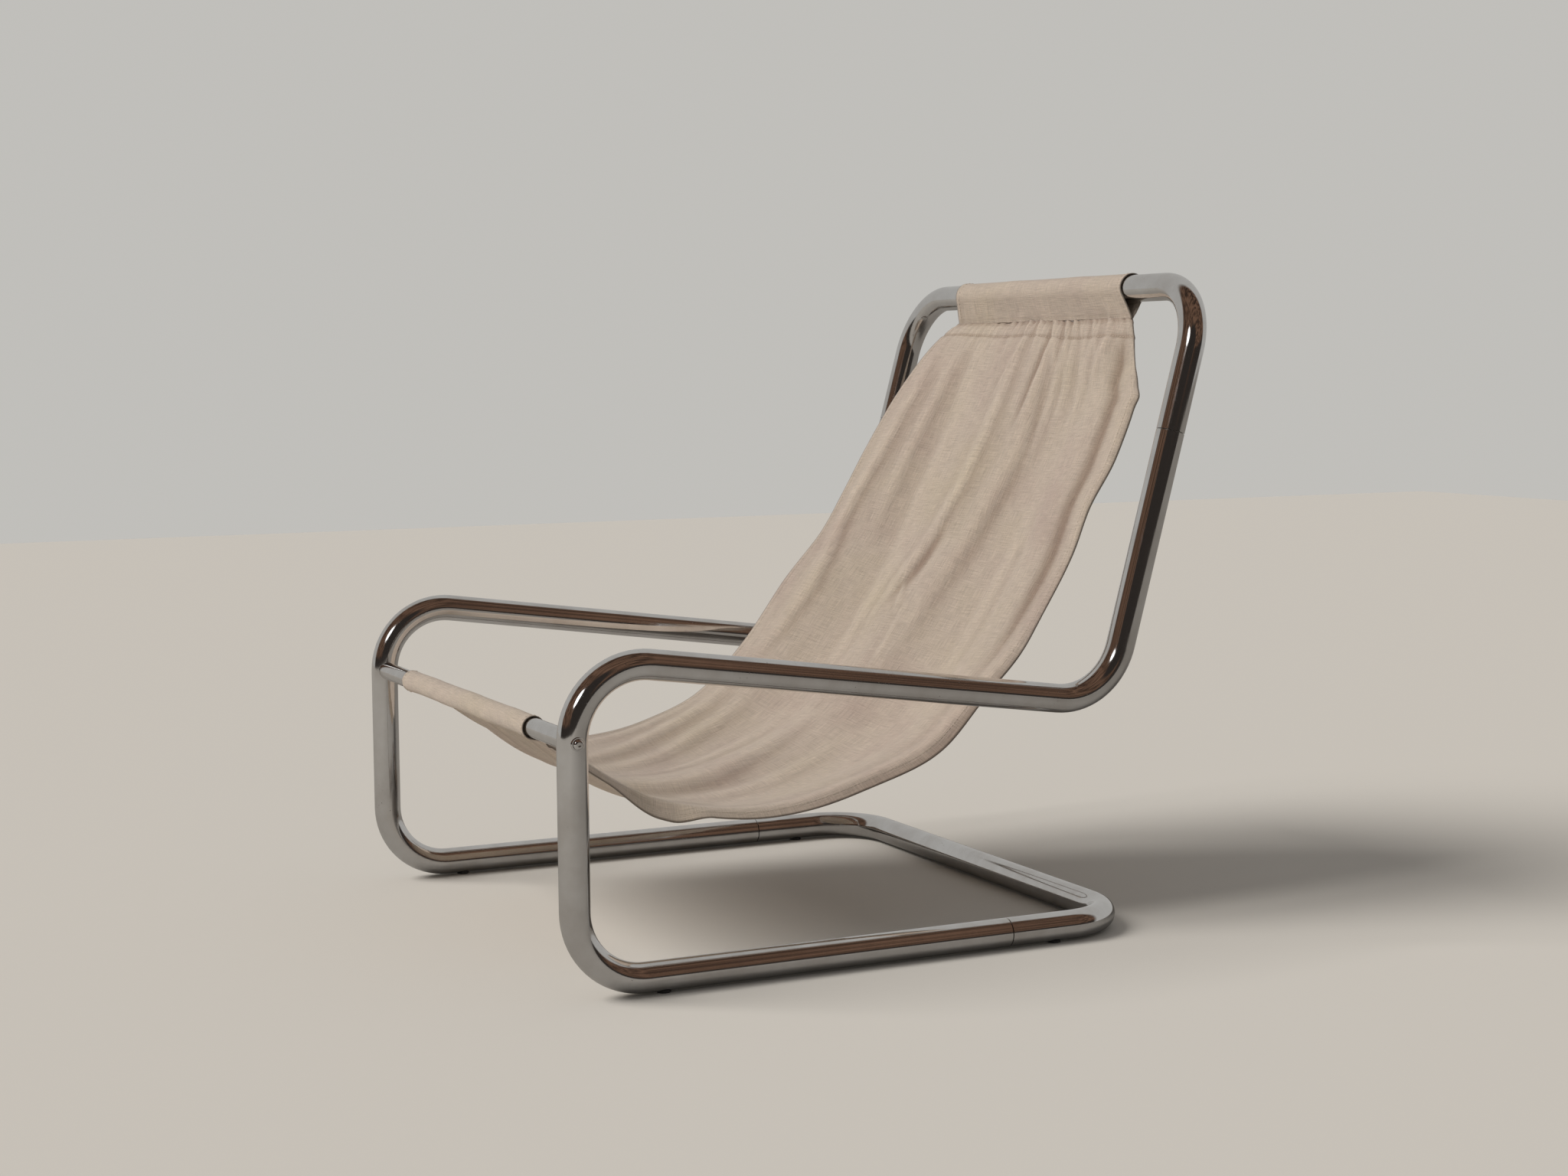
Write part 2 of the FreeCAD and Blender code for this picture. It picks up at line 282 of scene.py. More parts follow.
# Sling panel. Each station runs across the cloth, from the top seam to the front seam: for the
# left edge and then the right edge, the share of the way up the chord between the seams and the
# share of that edge's hang; then the half width, the belly, the fold rise and the shift's share.
sling = {
    "shift": -0.010,
    "leftHang": 0.318,
    "rightHang": 0.254,
    "belly": 0.020,
    "thickness": 0.0012,
    "stations": [
        (1.000, 0.000, 1.000, 0.000, 0.235, 0.00, 0.020, 1.0),
        (0.965, 0.113, 0.948, 0.047, 0.265, 0.20, 0.050, 0.7),
        (0.924, 0.245, 0.869, 0.189, 0.291, 0.40, 0.080, 0.1),
        (0.852, 0.415, 0.783, 0.358, 0.294, 0.60, 0.095, 0.0),
        (0.783, 0.541, 0.714, 0.508, 0.294, 0.70, 0.100, 0.0),
        (0.723, 0.664, 0.649, 0.638, 0.294, 0.80, 0.100, 0.0),
        (0.647, 0.805, 0.561, 0.744, 0.292, 0.90, 0.100, 0.0),
        (0.557, 0.909, 0.455, 0.909, 0.290, 1.00, 0.100, 0.0),
        (0.435, 1.000, 0.353, 1.000, 0.288, 1.00, 0.090, 0.0),
        (0.317, 0.943, 0.264, 0.949, 0.285, 1.00, 0.075, 0.0),
        (0.197, 0.802, 0.187, 0.839, 0.280, 0.90, 0.060, 0.1),
        (0.109, 0.594, 0.102, 0.634, 0.272, 0.70, 0.050, 0.3),
        (0.053, 0.368, 0.045, 0.382, 0.263, 0.35, 0.040, 0.6),
        (0.000, 0.000, 0.000, 0.000, 0.253, 0.00, 0.015, 0.8),
    ],
    "foldTurns": [0.0, 0.21, 0.38, 0.58, 0.80, 1.0],
    "columns": 150,
    "rows": 290,
    "flatWidth": 0.588,
    "turning": 0.025,  # cloth taken up by each seam
    "hemWidth": 0.013,
    "hemSoft": 0.0015,
    "hemRise": 0.0009,
    "hemStitch": 0.003,  # from the hem's inner edge
    "hemDip": 0.0005,
    "hemDipSpread": 0.0014,
    "topWiden": 0.036,
    "topWidenReach": 0.05,
    "frontShift": 0.011,
    "frontShiftReach": 0.14,
    "secondRow": 0.025,
    "creaseGain": 1.15,
    "gatherGain": 1.25,
    "seed": 7,
}
topSleeve = {"drop": 0.042, "lean": math.radians(-10), "width": 0.460, "bar": tubeR, "shift": -0.008,
             "flare": 0.010, "seed": 3}
frontSleeve = {"drop": 0.030, "lean": math.radians(50), "width": 0.510, "bar": railR, "shift": 0.003,
               "flare": 0.0, "seed": 5}
clothGap = 0.0003
canvasHalf = 0.0008


def loopTip(centre, drop, lean):
    return np.array([centre.y + drop * math.sin(lean), centre.z - drop * math.cos(lean)])


topSeam = loopTip(topCorner, topSleeve["drop"] + clothGap, topSleeve["lean"])
frontSeam = loopTip(railCentre, frontSleeve["drop"] + clothGap, frontSleeve["lean"])


def unit(rows):
    return rows / np.linalg.norm(rows, axis=1)[:, None]


def distances(spots):
    return np.concatenate([[0], np.cumsum(np.linalg.norm(np.diff(spots, axis=0), axis=1))])


def smoothStep(low, high, value):
    share = np.clip((value - low) / (high - low), 0, 1)
    return share * share * (3 - 2 * share)


def easeStations(places):
    # Catmull-Rom through the stations; places run from 0 at the top seam
    rows = np.array([sling["stations"][0]] + sling["stations"] + [sling["stations"][-1]])
    index = np.clip(np.floor(places).astype(int), 0, len(sling["stations"]) - 2)
    share = (places - index)[:, None]
    before, start, end, after = (rows[index + step] for step in range(4))
    slope = (end - before) / 2
    slopeAfter = (after - start) / 2
    bend = 3 * (end - start) - 2 * slope - slopeAfter
    twist = 2 * (start - end) + slope + slopeAfter
    return start + slope * share + bend * share ** 2 + twist * share ** 3


def slingFrame(places):
    # Left and right edge points and the direction towards the sitter, for each row
    rows = easeStations(places)
    chord = topSeam - frontSeam
    down = np.array([chord[1], -chord[0]]) / np.linalg.norm(chord)
    left = frontSeam + np.outer(rows[:, 0], chord) + np.outer(rows[:, 1] * sling["leftHang"], down)
    right = frontSeam + np.outer(rows[:, 2], chord) + np.outer(rows[:, 3] * sling["rightHang"], down)
    run = unit(np.gradient(left + right, axis=0))
    return rows, left, right, np.stack([run[:, 1], -run[:, 0]], axis=1)


def evenPlaces(count):
    # Places of rows that lie evenly along the middle of the cloth, and their distances
    fine = np.linspace(0, len(sling["stations"]) - 1, 2000)
    _, left, right, _ = slingFrame(fine)
    distance = distances((left + right) / 2)
    even = np.linspace(0, distance[-1], count)
    return np.interp(even, distance, fine), even


def foldLift(share, rise, width):
    # Broad folds that rise and fall by turns across the cloth
    lift = np.zeros_like(share)
    turns = sling["foldTurns"]
    for number, (start, end) in enumerate(zip(turns, turns[1:])):
        inside = (share >= start) & (share <= end)
        across = (share - start) / (end - start) * 2 - 1
        sign = 1 if number % 2 == 0 else -1
        lift = np.where(inside, sign * rise * (end - start) * width * (1 - across ** 2), lift)
    return lift


# Creases: points as (share across from the right edge, metres along the cloth from the top seam),
# then the height, and the half width towards the right edge and towards the left edge
creases = [
    # Near margin of the seat
    ([(0.972, 0.46), (0.968, 0.60), (0.966, 0.75), (0.964, 0.90), (0.960, 1.04)], 0.0050, 0.020, 0.010),
    # Far margin
    ([(0.070, 0.05), (0.106, 0.12), (0.108, 0.22), (0.094, 0.30), (0.092, 0.36), (0.118, 0.41),
      (0.138, 0.47), (0.122, 0.54), (0.100, 0.61)], 0.0058, 0.026, 0.0065),
    ([(0.170, 0.05), (0.192, 0.12), (0.193, 0.25), (0.198, 0.37)], 0.0032, 0.014, 0.006),
    ([(0.225, 0.01), (0.276, 0.06), (0.300, 0.15), (0.300, 0.30), (0.322, 0.44), (0.330, 0.56)],
     0.0062, 0.022, 0.045),
    # Middle of the back
    ([(0.468, 0.02), (0.476, 0.10), (0.478, 0.28), (0.452, 0.35), (0.408, 0.43), (0.388, 0.49)],
     0.0042, 0.022, 0.0065),
    ([(0.470, 0.34), (0.452, 0.40), (0.430, 0.46)], -0.0060, 0.016, 0.020),
    ([(0.604, 0.00), (0.590, 0.06), (0.584, 0.12), (0.600, 0.20), (0.590, 0.28), (0.574, 0.35),
      (0.552, 0.43), (0.538, 0.55)], 0.0060, 0.028, 0.009),
    ([(0.588, 0.00), (0.572, 0.05), (0.560, 0.10), (0.556, 0.17)], -0.0045, 0.005, 0.006),
    ([(0.660, 0.03), (0.644, 0.10), (0.634, 0.24)], 0.0028, 0.012, 0.006),
    ([(0.706, 0.02), (0.688, 0.08), (0.670, 0.17)], 0.0024, 0.010, 0.006),
    ([(0.905, 0.02), (0.850, 0.05), (0.805, 0.11)], 0.0028, 0.010, 0.006),
    ([(0.810, 0.02), (0.760, 0.08), (0.735, 0.18)], 0.0022, 0.010, 0.007),
    ([(0.735, 0.30), (0.730, 0.42), (0.742, 0.56)], 0.0030, 0.020, 0.012),
    ([(0.425, 0.43), (0.452, 0.455), (0.478, 0.485)], 0.0018, 0.004, 0.004),
    ([(0.345, 0.38), (0.338, 0.48), (0.326, 0.60)], 0.0024, 0.016, 0.008),
    ([(0.500, 0.46), (0.512, 0.54), (0.520, 0.60)], 0.0018, 0.006, 0.005),
    # Seat, fanning out from the front left
    ([(0.085, 0.64), (0.110, 0.75), (0.140, 0.85), (0.180, 0.93), (0.225, 1.02)], 0.0048, 0.018, 0.008),
    ([(0.170, 0.66), (0.200, 0.78), (0.236, 0.87), (0.270, 0.97)], 0.0044, 0.016, 0.008),
    ([(0.305, 0.68), (0.330, 0.80), (0.372, 0.90), (0.410, 1.00)], 0.0036, 0.018, 0.009),
    ([(0.440, 0.68), (0.488, 0.79), (0.530, 0.87), (0.552, 0.95), (0.560, 1.05)], 0.0095, 0.045, 0.014),
    ([(0.600, 0.70), (0.630, 0.82), (0.640, 0.94)], 0.0030, 0.016, 0.010),
    ([(0.040, 0.74), (0.060, 0.86), (0.090, 0.98)], 0.0028, 0.012, 0.007),
    ([(0.610, 1.03), (0.665, 0.96), (0.740, 0.935), (0.810, 0.97), (0.870, 1.05)], 0.0050, 0.014, 0.014),
    ([(0.700, 1.10), (0.760, 1.02), (0.830, 0.98)], 0.0026, 0.010, 0.010),
    # Short creases behind the front seam
    ([(0.30, 1.06), (0.34, 1.12), (0.36, 1.20)], 0.0030, 0.010, 0.007),
    ([(0.52, 1.08), (0.50, 1.14), (0.51, 1.20)], 0.0030, 0.009, 0.008),
    ([(0.14, 1.08), (0.18, 1.14), (0.20, 1.20)], 0.0026, 0.009, 0.007),
    ([(0.80, 1.10), (0.76, 1.15), (0.77, 1.20)], 0.0028, 0.009, 0.008),
]


def creaseLift(across, along, width):
    lift = np.zeros_like(across)
    for points, height, farSpread, nearSpread in creases:
        best = np.full_like(across, 9.0)
        place = np.zeros_like(across)
        farther = np.zeros(across.shape, bool)
        spots = [np.array(point, float) for point in points]
        for number, (start, end) in enumerate(zip(spots, spots[1:])):
            startX = (start[0] - 0.5) * width
            endX = (end[0] - 0.5) * width
            dx = endX - startX
            dy = end[1] - start[1]
            share = ((across - startX) * dx + (along - start[1]) * dy) / (dx * dx + dy * dy)
            share = np.clip(share, 0, 1)
            gap = np.hypot(across - startX - share * dx, along - start[1] - share * dy)
            place = np.where(gap < best, (number + share) / (len(spots) - 1), place)
            farther = np.where(gap < best, across < startX + share * dx, farther)
            best = np.minimum(best, gap)
        fade = np.sin(np.pi * np.clip(place, 0.02, 0.98)) ** 0.6
        spread = np.where(farther, farSpread, nearSpread)
        lift += sling["creaseGain"] * height * fade * np.exp(-(best / spread) ** 2)
    return lift


# Near margin of the back: a valley where the cloth drops, with painted shade in it, then the margin that
# rises again. Its line is a share across for each distance along the cloth
margin = {
    "along": [0.0, 0.05, 0.10, 0.20, 0.32, 0.45, 0.60],
    "line": [0.980, 0.935, 0.900, 0.903, 0.915, 0.922, 0.935],
    "depth": 0.0130,
    "begins": (0.01, 0.07),
    "fades": (0.36, 0.64),
    "fall": 0.021,
    "rise": 0.045,
    "riseShare": 1.25,
    "valleyShade": 0.5958,
    "shadeBehind": 0.016,
    "shadePast": 0.002,
}


def marginLift(share, along, width):
    line = np.interp(along, margin["along"], margin["line"])
    strength = smoothStep(*margin["begins"], along) * (1 - smoothStep(*margin["fades"], along))
    past = (share - line) * width
    behind = np.exp(np.minimum(past, 0) / margin["fall"])
    beyond = 1 - margin["riseShare"] * np.clip(past / margin["rise"], 0, 1)
    # Painted shade darkens the cloth where it drops into the valley
    shadeReach = np.where(past < 0, margin["shadeBehind"], margin["shadePast"])
    valleyShade = margin["valleyShade"] * strength * np.exp(-(past / shadeReach) ** 2)
    return -margin["depth"] * strength * np.where(past < 0, behind, beyond), valleyShade


# Pleats under the top seam, where they bunch up in one place, and behind the front seam
pleats = {
    "top": {"count": 46, "weakest": 0.3, "plain": 0.5, "bunch": 1.0, "spread": (0.0028, 0.0058),
            "reach": (0.022, 0.132), "shortness": 2.5, "slant": 0.5, "height": 0.0019},
    "front": {"count": 34, "weakest": 0.2, "plain": 1.0, "bunch": 0.0, "spread": (0.0035, 0.0080),
              "reach": (0.05, 0.16), "shortness": 1.0, "slant": 0.25, "height": 0.0026},
    "bunchAt": 0.62,
    "bunchSpread": 0.25,
    "dip": 0.0015,
    "dipSpread": 0.0026,
    "topDip": 0.003,
    "frontDip": 0.004,
}


def pleatLift(chance, make, share, fromSeam, width):
    lift = np.zeros_like(share)
    shortest, longest = make["reach"]
    for number in range(make["count"]):
        centre = (number + chance.uniform(0.1, 0.9)) / make["count"]
        bunched = math.exp(-((centre - pleats["bunchAt"]) / pleats["bunchSpread"]) ** 2)
        strength = chance.uniform(make["weakest"], 1.0) * (make["plain"] + make["bunch"] * bunched)
        spread = chance.uniform(*make["spread"]) / width
        reach = shortest + (longest - shortest) * chance.uniform(0.0, 1.0) ** make["shortness"]
        line = centre + chance.uniform(-make["slant"], make["slant"]) * fromSeam
        pleat = np.exp(-((share - line) / spread) ** 2) * np.exp(-(fromSeam / reach) ** 2)
        lift += make["height"] * strength * pleat
    return lift


def gatherLift(share, along, width, total):
    # The pleats and the dips along the stitching
    chance = np.random.default_rng(sling["seed"])
    lift = pleatLift(chance, pleats["top"], share, along, width)
    lift += pleatLift(chance, pleats["front"], share, total - along, width)
    lift *= sling["gatherGain"]
    for row in (pleats["topDip"], sling["secondRow"], total - pleats["frontDip"]):
        lift -= pleats["dip"] * np.exp(-((along - row) / pleats["dipSpread"]) ** 2)
    return lift


# Near edge: a small point high on the back, slow waves, and the rolled band that hangs as a flap near
# the front. Pairs are distances along the cloth between which a thing comes or goes
nearEdge = {
    "point": 0.006,
    "pointAt": 0.126,
    "pointSpread": 0.012,
    "waves": 0.0030,
    "waveTurns": 38,
    "wavesCome": (0.15, 0.30),
    "wavesGo": (0.80, 0.95),
    "inset": 0.003,
    "movedShare": 0.75,  # the edge moves alone beyond this share across
    "roll": 0.009,
    "rollDrop": 0.0025,
    "rollTilt": 0.30,
    "seatComes": (0.60, 0.72),
    "seatRoll": 0.010,
    "seatDrop": 0.0050,
    "flapComes": (0.985, 1.035),
    "flapGoes": (1.05, 1.13),
    "flapRoll": 0.014,
    "flapDrop": 0.016,
}


def edgeWander(along):
    point = nearEdge["point"] * np.exp(-((along - nearEdge["pointAt"]) / nearEdge["pointSpread"]) ** 2)
    waving = smoothStep(*nearEdge["wavesCome"], along) * (1 - smoothStep(*nearEdge["wavesGo"], along))
    waves = nearEdge["waves"] * np.sin(along * nearEdge["waveTurns"]) * waving
    return point + waves - nearEdge["inset"] * smoothStep(*nearEdge["wavesCome"], along)


def nearRoll(share, along, width):
    # How far the rolled edge drops, and how far it tilts inwards
    flap = smoothStep(*nearEdge["flapComes"], along) * (1 - smoothStep(*nearEdge["flapGoes"], along))
    seat = smoothStep(*nearEdge["seatComes"], along)
    rollWidth = nearEdge["roll"] + nearEdge["seatRoll"] * seat + nearEdge["flapRoll"] * flap
    roll = np.clip(1 - (1 - share) * width / rollWidth, 0, 1)
    roll = np.where(roll < 0.25, 2 * roll ** 2, roll - 0.125)  # a soft start, then straight
    drop = nearEdge["rollDrop"] + nearEdge["seatDrop"] * seat + nearEdge["flapDrop"] * flap
    return drop * roll, rollWidth * nearEdge["rollTilt"] * roll


# Painted shading: a spot that stands proud of the cloth round it gets a painted highlight and a hollow
# gets painted shade, with painted shade along the second row of stitches and at the top seam
paintedShadingMake = {
    "window": 19,
    "fullRise": 0.006,
    "secondRow": 0.45,
    "rowSpread": 0.0024,
    "seam": 0.40,
    "seamSpread": 0.006,
}


def paintedShadingOf(folds, along, valleyShade):
    window = np.hanning(paintedShadingMake["window"])
    window /= window.sum()
    reach = paintedShadingMake["window"] // 2
    padded = np.pad(folds, ((0, 0), (reach, reach)), mode="edge")
    soft = sum(weight * padded[:, step:step + folds.shape[1]] for step, weight in enumerate(window))
    paintedShading = 0.5 + (folds - soft) / paintedShadingMake["fullRise"]
    paintedShading -= paintedShadingMake["secondRow"] * np.exp(-((along - sling["secondRow"]) / paintedShadingMake["rowSpread"]) ** 2)
    paintedShading -= paintedShadingMake["seam"] * np.exp(-(along / paintedShadingMake["seamSpread"]) ** 2)
    return np.clip(paintedShading, 0, 1) * (1 - valleyShade)


def hemLift(toEdge):
    # The turned hem stands proud, with a dip along its stitches
    hem = sling["hemWidth"]
    lift = sling["hemRise"] * (1 - smoothStep(hem - sling["hemSoft"], hem + sling["hemSoft"], toEdge))
    fromStitch = toEdge - hem + sling["hemStitch"]
    return lift - sling["hemDip"] * np.exp(-(fromStitch / sling["hemDipSpread"]) ** 2)


def buildSling():
    places, distance = evenPlaces(sling["rows"])
    rows, left, right, inward = slingFrame(places)
    total = distance[-1]
    share, along = np.meshgrid(np.linspace(0, 1, sling["columns"]), distance)
    width = 2 * rows[:, 4][:, None]
    flatX = (share - 0.5) * width
    lift = foldLift(share, rows[:, 6][:, None], width)
    lift -= sling["belly"] * rows[:, 5][:, None] * 4 * share * (1 - share)
    valley, valleyShade = marginLift(share, along, width)
    folds = creaseLift(flatX, along, width) + gatherLift(share, along, width, total) + valley
    # Painted shade in hollows, along the stitch rows and in the margin valley; painted highlight on crests
    paintedShading = paintedShadingOf(folds, along, valleyShade)
    toEdge = np.minimum(share, 1 - share) * width
    drop, tilt = nearRoll(share, along, width)
    lift += folds + hemLift(toEdge) - drop
    # The cloth comes out a little wider at the top seam and nearer the left upright at the front
    widen = sling["topWiden"] * (1 - smoothStep(0.0, sling["topWidenReach"], along))
    x = (rows[:, 7] * sling["shift"])[:, None] + flatX * (1 + widen)
    x += sling["frontShift"] * smoothStep(total - sling["frontShiftReach"], total, along)
    x += edgeWander(along) * smoothStep(nearEdge["movedShare"], 1.0, share) - tilt
    right, left, inward = (sides.T[:, :, None] for sides in (right, left, inward))
    y, z = right * (1 - share) + left * share + inward * lift
    return np.stack([x, y, z], axis=2), np.stack([flatX, -along], axis=2), toEdge, paintedShading, total


def gridMesh(name, points, flat, toEdge, paintedShading):
    # A sheet from rows of points, with a UV map in metres, the distance to the nearest edge, and
    # the painted shading: a highlight where a spot stands proud of the cloth round it, shade where it lies
    # low
    rows, columns = points.shape[:2]
    index = np.arange(rows * columns).reshape(rows, columns)
    faces = np.stack([index[:-1, :-1], index[1:, :-1], index[1:, 1:], index[:-1, 1:]], axis=2)
    mesh = bpy.data.meshes.new(name)
    mesh.from_pydata(points.reshape(-1, 3).tolist(), [], faces.reshape(-1, 4).tolist())
    uv = mesh.uv_layers.new(name="weave")
    corner = np.empty(len(mesh.loops), dtype=np.int32)
    mesh.loops.foreach_get("vertex_index", corner)
    uv.data.foreach_set("uv", flat.reshape(-1, 2)[corner].ravel().astype(np.float32))
    for label, values in (("edge", toEdge), ("paintedShading", paintedShading)):
        kept = mesh.attributes.new(label, "FLOAT", "POINT")
        kept.data.foreach_set("value", values.ravel().astype(np.float32))
    mesh.polygons.foreach_set("use_smooth", [True] * len(mesh.polygons))
    return newObject(name, mesh)


def thicken(piece, thickness):
    selectOnly(piece)
    solidify = piece.modifiers.new("cloth", "SOLIDIFY")
    solidify.thickness = thickness
    solidify.offset = 0
    solidify.use_even_offset = False
    bpy.ops.object.modifier_apply(modifier="cloth")


slingPoints, *slingLooks, slingLength = buildSling()
slingPanel = gridMesh("sling_panel_canvas", slingPoints, *slingLooks)
thicken(slingPanel, sling["thickness"])
print("sling", len(slingPanel.data.polygons), "faces, length", round(slingLength, 4))


def loopPath(centre, drop, lean, bar, count):
    # Points of a teardrop round a bar, from its tip up one side, round and back to the tip
    radius = bar + clothGap + canvasHalf
    tip = loopTip(centre, drop, lean)
    middle = np.array([centre.y, centre.z])
    axis = (tip - middle) / np.linalg.norm(tip - middle)
    across = np.array([-axis[1], axis[0]])
    halfAngle = math.acos(radius / drop)
    straight = math.sqrt(drop ** 2 - radius ** 2)
    arc = radius * (2 * math.pi - 2 * halfAngle)
    total = 2 * straight + arc
    points = []
    for step in range(count):
        gone = total * step / (count - 1)
        if gone < straight:
            touch = middle + radius * (axis * math.cos(halfAngle) + across * math.sin(halfAngle))
            points.append(tip + (touch - tip) * gone / straight)
        elif gone > straight + arc:
            touch = middle + radius * (axis * math.cos(halfAngle) - across * math.sin(halfAngle))
            points.append(tip + (touch - tip) * (total - gone) / straight)
        else:
            turn = halfAngle + (gone - straight) / radius
            points.append(middle + radius * (axis * math.cos(turn) + across * math.sin(turn)))
    return np.array(points), np.linspace(0, total, count), total


# Sleeves: pleats at the seam, slow rumples, turned ends and the dip along the stitches
sleeveMake = {
    "rows": 110,
    "columns": 150,
    "pleats": 40,
    "slant": 0.5,
    "spread": (0.003, 0.010),
    "reach": (0.010, 0.030),
    "weakest": 0.2,
    "height": 0.0011,
    "rumple": 0.0006,
    "rumpleTurns": (37, 60),
    "hemWidth": 0.010,
    "hemSoft": 0.0015,
    "hemRise": 0.0007,
    "hemStitch": 0.0085,
    "seamStitch": 0.005,
    "dip": 0.0004,
    "fullRise": 0.004,
    "flareReach": 0.05,
}


def sleeveMesh(name, centre, sleeve):
    make = sleeveMake
    path, gone, total = loopPath(centre, sleeve["drop"], sleeve["lean"], sleeve["bar"], make["rows"])
    run = unit(np.gradient(path, axis=0))
    outward = np.stack([run[:, 1], -run[:, 0]], axis=1)
    half = make["rows"] // 2
    if np.dot(outward[half], path[half] - np.array([centre.y, centre.z])) < 0:
        outward = -outward
    x, along = np.meshgrid(np.linspace(-sleeve["width"] / 2, sleeve["width"] / 2, make["columns"]), gone)
    fromSeam = np.minimum(along, total - along)
    chance = np.random.default_rng(sleeve["seed"])
    lift = np.zeros_like(x)
    for number in range(make["pleats"]):
        centreX = chance.uniform(-0.5, 0.5) * sleeve["width"]
        slant = chance.uniform(-make["slant"], make["slant"])
        spread = chance.uniform(*make["spread"])
        reach = chance.uniform(*make["reach"])
        strength = chance.uniform(make["weakest"], 1.0) * make["height"]
        line = centreX + slant * fromSeam
        lift += strength * np.exp(-((x - line) / spread) ** 2) * np.exp(-(fromSeam / reach) ** 2)
    toEnd = sleeve["width"] / 2 - np.abs(x)
    hem = make["hemWidth"]
    lift += make["hemRise"] * (1 - smoothStep(hem - make["hemSoft"], hem + make["hemSoft"], toEnd))
    acrossTurns, alongTurns = make["rumpleTurns"]
    rumples = np.sin(x * acrossTurns + 1.3) * np.sin(along * alongTurns)
    lift += make["rumple"] * rumples * smoothStep(0.0, 0.02, fromSeam)
    lift = np.maximum(lift, 0)
    lift -= make["dip"] * np.exp(-((fromSeam - make["seamStitch"]) / 0.0015) ** 2)
    y, z = (path[:, axis][:, None] + outward[:, axis][:, None] * lift for axis in range(2))
    flare = 2 * sleeve["flare"] / sleeve["width"] * (1 - smoothStep(0.0, make["flareReach"], fromSeam))
    points = np.stack([x * (1 + flare) + sleeve["shift"], y, z], axis=2)
    # Painted shading: proud parts get a painted highlight, low parts painted shade
    paintedShading = np.clip(0.5 + lift / make["fullRise"], 0, 1)
    piece = gridMesh(name, points, np.stack([x, along], axis=2), toEnd, paintedShading)
    thicken(piece, sling["thickness"])
    return piece, points, total


topSleevePiece, topSleevePoints, topSleeveRound = sleeveMesh("top_sleeve_canvas", topCorner, topSleeve)
frontSleevePiece, frontSleevePoints, frontSleeveRound = sleeveMesh(
    "front_sleeve_canvas", railCentre, frontSleeve
)
print("sleeves", round(topSleeveRound, 4), round(frontSleeveRound, 4))

# Stitching: one stitch is modelled, and its copies follow rows on the cloth
stitch = {
    "length": 0.0042,
    "width": 0.0010,
    "height": 0.0007,
    "pitch": 0.0056,
    "proud": 0.0008,
    "feel": 0.001,  # how far ahead and behind a stitch looks for its direction
}

bpy.ops.object.select_all(action="DESELECT")
bpy.ops.mesh.primitive_ico_sphere_add(subdivisions=1, radius=0.5)
stitchModel = bpy.context.object
setMode("EDIT")
bpy.ops.mesh.select_all(action="SELECT")
bpy.ops.transform.resize(value=(stitch["length"], stitch["width"], stitch["height"]))
setMode("OBJECT")
stitchVerts = np.array([list(vert.co) for vert in stitchModel.data.vertices])
stitchFaces = np.array([list(face.vertices) for face in stitchModel.data.polygons])
bpy.data.objects.remove(stitchModel)


def rowOnGrid(points, line, sign):
    # A row of stitch places from grid indices; the normal comes from the grid's own neighbours
    rows, columns = np.array(line).T
    lastRow, lastColumn = points.shape[0] - 1, points.shape[1] - 1
    down = points[np.minimum(rows + 1, lastRow), columns] - points[np.maximum(rows - 1, 0), columns]
    over = points[rows, np.minimum(columns + 1, lastColumn)] - points[rows, np.maximum(columns - 1, 0)]
    normal = unit(np.cross(over, down) * sign)
    spots = points[rows, columns]
    gone = distances(spots)
    count = int(gone[-1] / stitch["pitch"])
    at = (np.arange(count) + 0.5) * gone[-1] / count

    def pick(values, offset=0.0):
        return np.stack([np.interp(at + offset, gone, values[:, axis]) for axis in range(3)], axis=1)

    out = unit(pick(normal))
    along = unit(pick(spots, stitch["feel"]) - pick(spots, -stitch["feel"]))
    return pick(spots) + out * stitch["proud"], along, out


def sewRows(name, rowsOfStitches):
    verts = []
    faces = []
    for place, along, out in rowsOfStitches:
        across = np.cross(out, along)
        for number in range(len(place)):
            basis = np.stack([along[number], across[number], out[number]])
            faces.extend((stitchFaces + len(verts)).tolist())
            verts.extend((place[number] + stitchVerts @ basis).tolist())
    mesh = bpy.data.meshes.new(name)
    mesh.from_pydata(verts, [], faces)
    piece = newObject(name, mesh)
    selectOnly(piece)
    setMode("EDIT")
    bpy.ops.mesh.select_all(action="SELECT")
    bpy.ops.mesh.normals_make_consistent(inside=False)
    setMode("OBJECT")
    return piece


rowCount, columnCount = slingPoints.shape[:2]
seamRow = int(round(sling["secondRow"] / slingLength * (rowCount - 1)))
hemColumn = int(round((sling["hemWidth"] - sling["hemStitch"]) / sling["flatWidth"] * (columnCount - 1)))
acrossRow = range(2, columnCount - 2)
downRow = range(3, rowCount - 3)
panelStitches = sewRows("sling_panel_stitches", [
    rowOnGrid(slingPoints, [(seamRow, column) for column in acrossRow], -1),
    rowOnGrid(slingPoints, [(row, hemColumn) for row in downRow], -1),
    rowOnGrid(slingPoints, [(row, columnCount - 1 - hemColumn) for row in downRow], -1),
])


